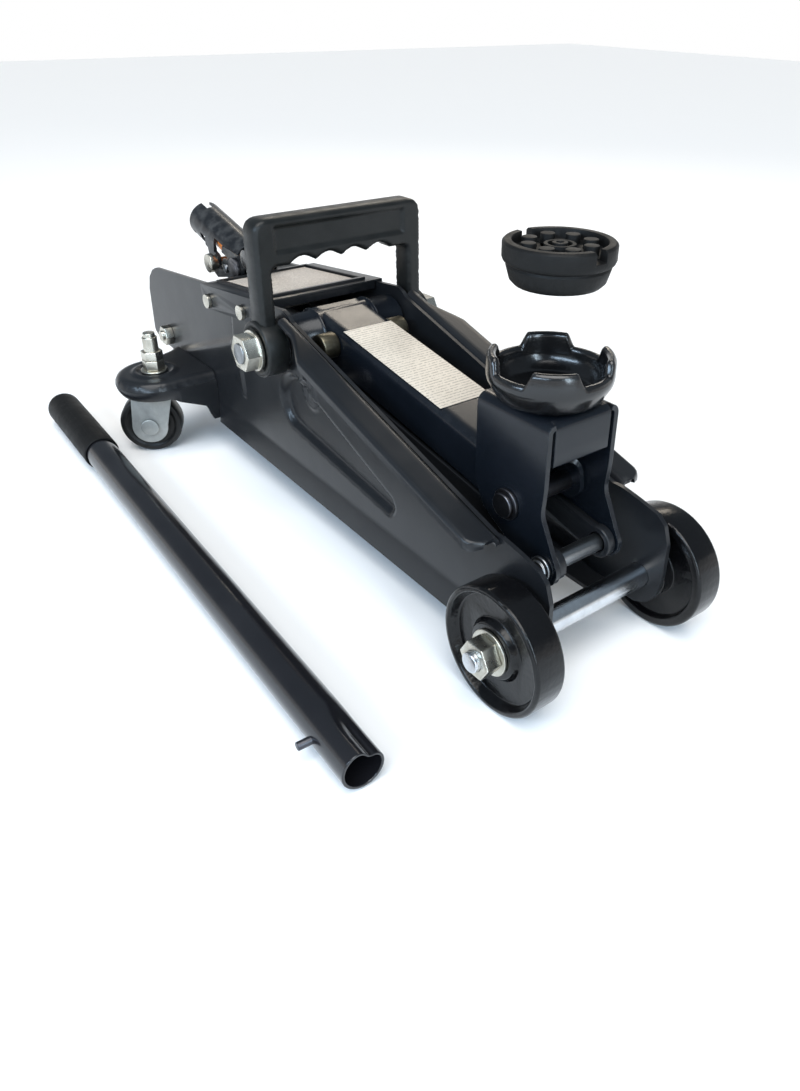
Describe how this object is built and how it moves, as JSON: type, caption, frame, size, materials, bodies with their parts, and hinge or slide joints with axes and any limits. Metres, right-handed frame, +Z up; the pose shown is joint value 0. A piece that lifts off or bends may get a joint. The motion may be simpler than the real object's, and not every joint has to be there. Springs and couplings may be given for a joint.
{
  "type": "hydraulic floor jack",
  "caption": "Low trolley jack with a hydraulic lift arm, cupped saddle, carrying handle, rear casters, pump socket, rubber pad and separate long handle.",
  "frame": {"origin": "on the floor, on the centre plane, straight below the middle of the front axle", "axes": "+X towards the lifting end, +Y to the left when facing +X, +Z up"},
  "size_m": [0.4685, 0.2516, 0.2002],
  "materials": {
    "frame_paint": "gloss charcoal enamel",
    "cover_paint": "gloss black enamel",
    "arm_paint": "gloss blue-black enamel",
    "tube_paint": "gloss black enamel",
    "wheel_black": "gloss black paint on cast iron",
    "cast_black": "black painted casting",
    "zinc": "bright zinc plating, slightly yellow",
    "fork_zinc": "dull zinc plated pressing",
    "axle_chrome": "bright plated bar",
    "ram_chrome": "ground and plated",
    "steel": "machined steel",
    "dark_steel": "blackened steel",
    "label": "matt printed film",
    "handle_plastic": "satin black moulding",
    "rubber_black": "matt black rubber",
    "caster_black": "black moulded wheel",
    "orange_plastic": "orange moulding"
  },
  "bodies": {
    "chassis": {"side_plate_left": "frame_paint", "side_plate_right": "frame_paint", "caster_bracket_left": "frame_paint", "caster_bracket_right": "frame_paint", "cover_plate": "cover_paint", "cover_label": "label", "cover_screws": "zinc", "front_axle": "axle_chrome", "front_axle_washers": "zinc", "front_axle_nuts": "zinc", "arm_pivot_shaft": "steel", "arm_pivot_nuts": "zinc", "arm_pivot_spacers": "steel", "link_anchor_pins": "frame_paint", "rear_cross_bolt": "zinc", "rear_cross_spacer": "frame_paint", "pump_block": "cast_black", "reservoir": "frame_paint", "ram_cylinder": "steel", "filler_plug": "rubber_black", "relief_valve": "zinc", "socket_pivot_pin": "dark_steel", "caster_stems": "zinc", "caster_nuts": "zinc"},
    "front_wheel_left": {"front_wheel_left": "wheel_black"},
    "front_wheel_right": {"front_wheel_right": "wheel_black"},
    "lift_arm": {"lift_arm": "arm_paint", "arm_label": "label", "arm_collars": "zinc"},
    "links": {"link_bars": "frame_paint"},
    "saddle_carrier": {"saddle_bracket": "arm_paint", "arm_front_pin": "dark_steel", "link_front_pin": "steel", "pin_clips": "dark_steel"},
    "saddle": {"saddle": "cast_black", "saddle_clip": "steel"},
    "rubber_pad": {"rubber_pad": "rubber_black"},
    "ram": {"ram": "ram_chrome", "ram_pin": "steel"},
    "plunger": {"pump_plunger": "ram_chrome", "plunger_spring": "steel"},
    "handle_socket": {"handle_socket": "frame_paint", "socket_roller": "steel", "socket_clamp_bolt": "zinc"},
    "release_coupling": {"release_coupling": "orange_plastic"},
    "release_valve": {"release_valve": "zinc"},
    "carry_handle": {"carry_handle": "handle_plastic"},
    "caster_swivel_left": {"caster_fork_left": "fork_zinc", "caster_axle_left": "fork_zinc"},
    "caster_swivel_right": {"caster_fork_right": "fork_zinc", "caster_axle_right": "fork_zinc"},
    "caster_wheel_left": {"caster_wheel_left": "caster_black"},
    "caster_wheel_right": {"caster_wheel_right": "caster_black"},
    "long_handle": {"handle_tube": "tube_paint", "handle_grip": "rubber_black", "handle_peg": "dark_steel"}
  },
  "joints": [
    {"name": "arm_lift", "type": "hinge", "parent": "chassis", "child": "lift_arm", "pos_m": [-0.217, 0, 0.109], "axis": [0, -1, 0], "range_deg": [0, 66]},
    {"name": "carrier_level", "type": "hinge", "parent": "lift_arm", "child": "saddle_carrier", "pos_m": [-0.03596, 0, 0.07968], "axis": [0, -1, 0], "range_deg": [-66, 0]},
    {"name": "link_swing", "type": "hinge", "parent": "chassis", "child": "links", "pos_m": [-0.191, 0, 0.086], "axis": [0, -1, 0], "range_deg": [0, 66]},
    {"name": "ram_stroke", "type": "slide", "parent": "chassis", "child": "ram", "axis": [1, 0, 0], "range_m": [0, 0.04431]},
    {"name": "saddle_turn", "type": "hinge", "parent": "saddle_carrier", "child": "saddle", "pos_m": [-0.0365, 0, 0.13], "axis": [0, 0, 1], "continuous": true},
    {"name": "pad_seat", "type": "slide", "parent": "saddle", "child": "rubber_pad", "axis": [0, 0, 1], "range_m": [-0.0458, 0.03]},
    {"name": "front_wheel_left_spin", "type": "hinge", "parent": "chassis", "child": "front_wheel_left", "pos_m": [0, 0.054, 0.0325], "axis": [0, 1, 0], "continuous": true},
    {"name": "front_wheel_right_spin", "type": "hinge", "parent": "chassis", "child": "front_wheel_right", "pos_m": [0, -0.054, 0.0325], "axis": [0, 1, 0], "continuous": true},
    {"name": "caster_left_swivel", "type": "hinge", "parent": "chassis", "child": "caster_swivel_left", "pos_m": [-0.3455, 0.0738, 0.05], "axis": [0, 0, 1], "continuous": true},
    {"name": "caster_right_swivel", "type": "hinge", "parent": "chassis", "child": "caster_swivel_right", "pos_m": [-0.3455, -0.0738, 0.05], "axis": [0, 0, 1], "continuous": true},
    {"name": "caster_left_spin", "type": "hinge", "parent": "caster_swivel_left", "child": "caster_wheel_left", "pos_m": [-0.3491, 0.06757, 0.021], "axis": [-0.866, 0.5, 0], "continuous": true},
    {"name": "caster_right_spin", "type": "hinge", "parent": "caster_swivel_right", "child": "caster_wheel_right", "pos_m": [-0.3491, -0.08003, 0.021], "axis": [-0.866, 0.5, 0], "continuous": true},
    {"name": "carry_handle_fold", "type": "hinge", "parent": "chassis", "child": "carry_handle", "pos_m": [-0.217, 0, 0.109], "axis": [0, -1, 0], "range_deg": [0, 55]},
    {"name": "pump_stroke", "type": "hinge", "parent": "chassis", "child": "handle_socket", "pos_m": [-0.329, 0, 0.123], "axis": [0, 1, 0], "range_deg": [0, 35]},
    {"name": "plunger_slide", "type": "slide", "parent": "chassis", "child": "plunger", "axis": [0, 0, 1], "range_m": [0, 0.0092], "deforming": ["plunger_spring"]},
    {"name": "release_twist", "type": "hinge", "parent": "handle_socket", "child": "release_coupling", "pos_m": [-0.398, 0, 0.142], "axis": [0.9744, 0, -0.225], "range_deg": [0, 60]},
    {"name": "valve_turn", "type": "hinge", "parent": "chassis", "child": "release_valve", "pos_m": [-0.352, 0, 0.0865], "axis": [1, 0, 0], "range_deg": [0, 60]},
    {"name": "long_handle_lift", "type": "slide", "parent": "chassis", "child": "long_handle", "axis": [0, 0, 1], "range_m": [0, 0.3]}
  ],
  "couplings": [
    {"joint": "carrier_level", "follows": "arm_lift", "ratio": -1},
    {"joint": "link_swing", "follows": "arm_lift", "ratio": 1},
    {"joint": "ram_stroke", "follows": "arm_lift", "m_per_rad": 0.038469},
    {"joint": "plunger_slide", "follows": "pump_stroke", "m_per_rad": 0.0146},
    {"joint": "valve_turn", "follows": "release_twist", "ratio": 1}
  ]
}
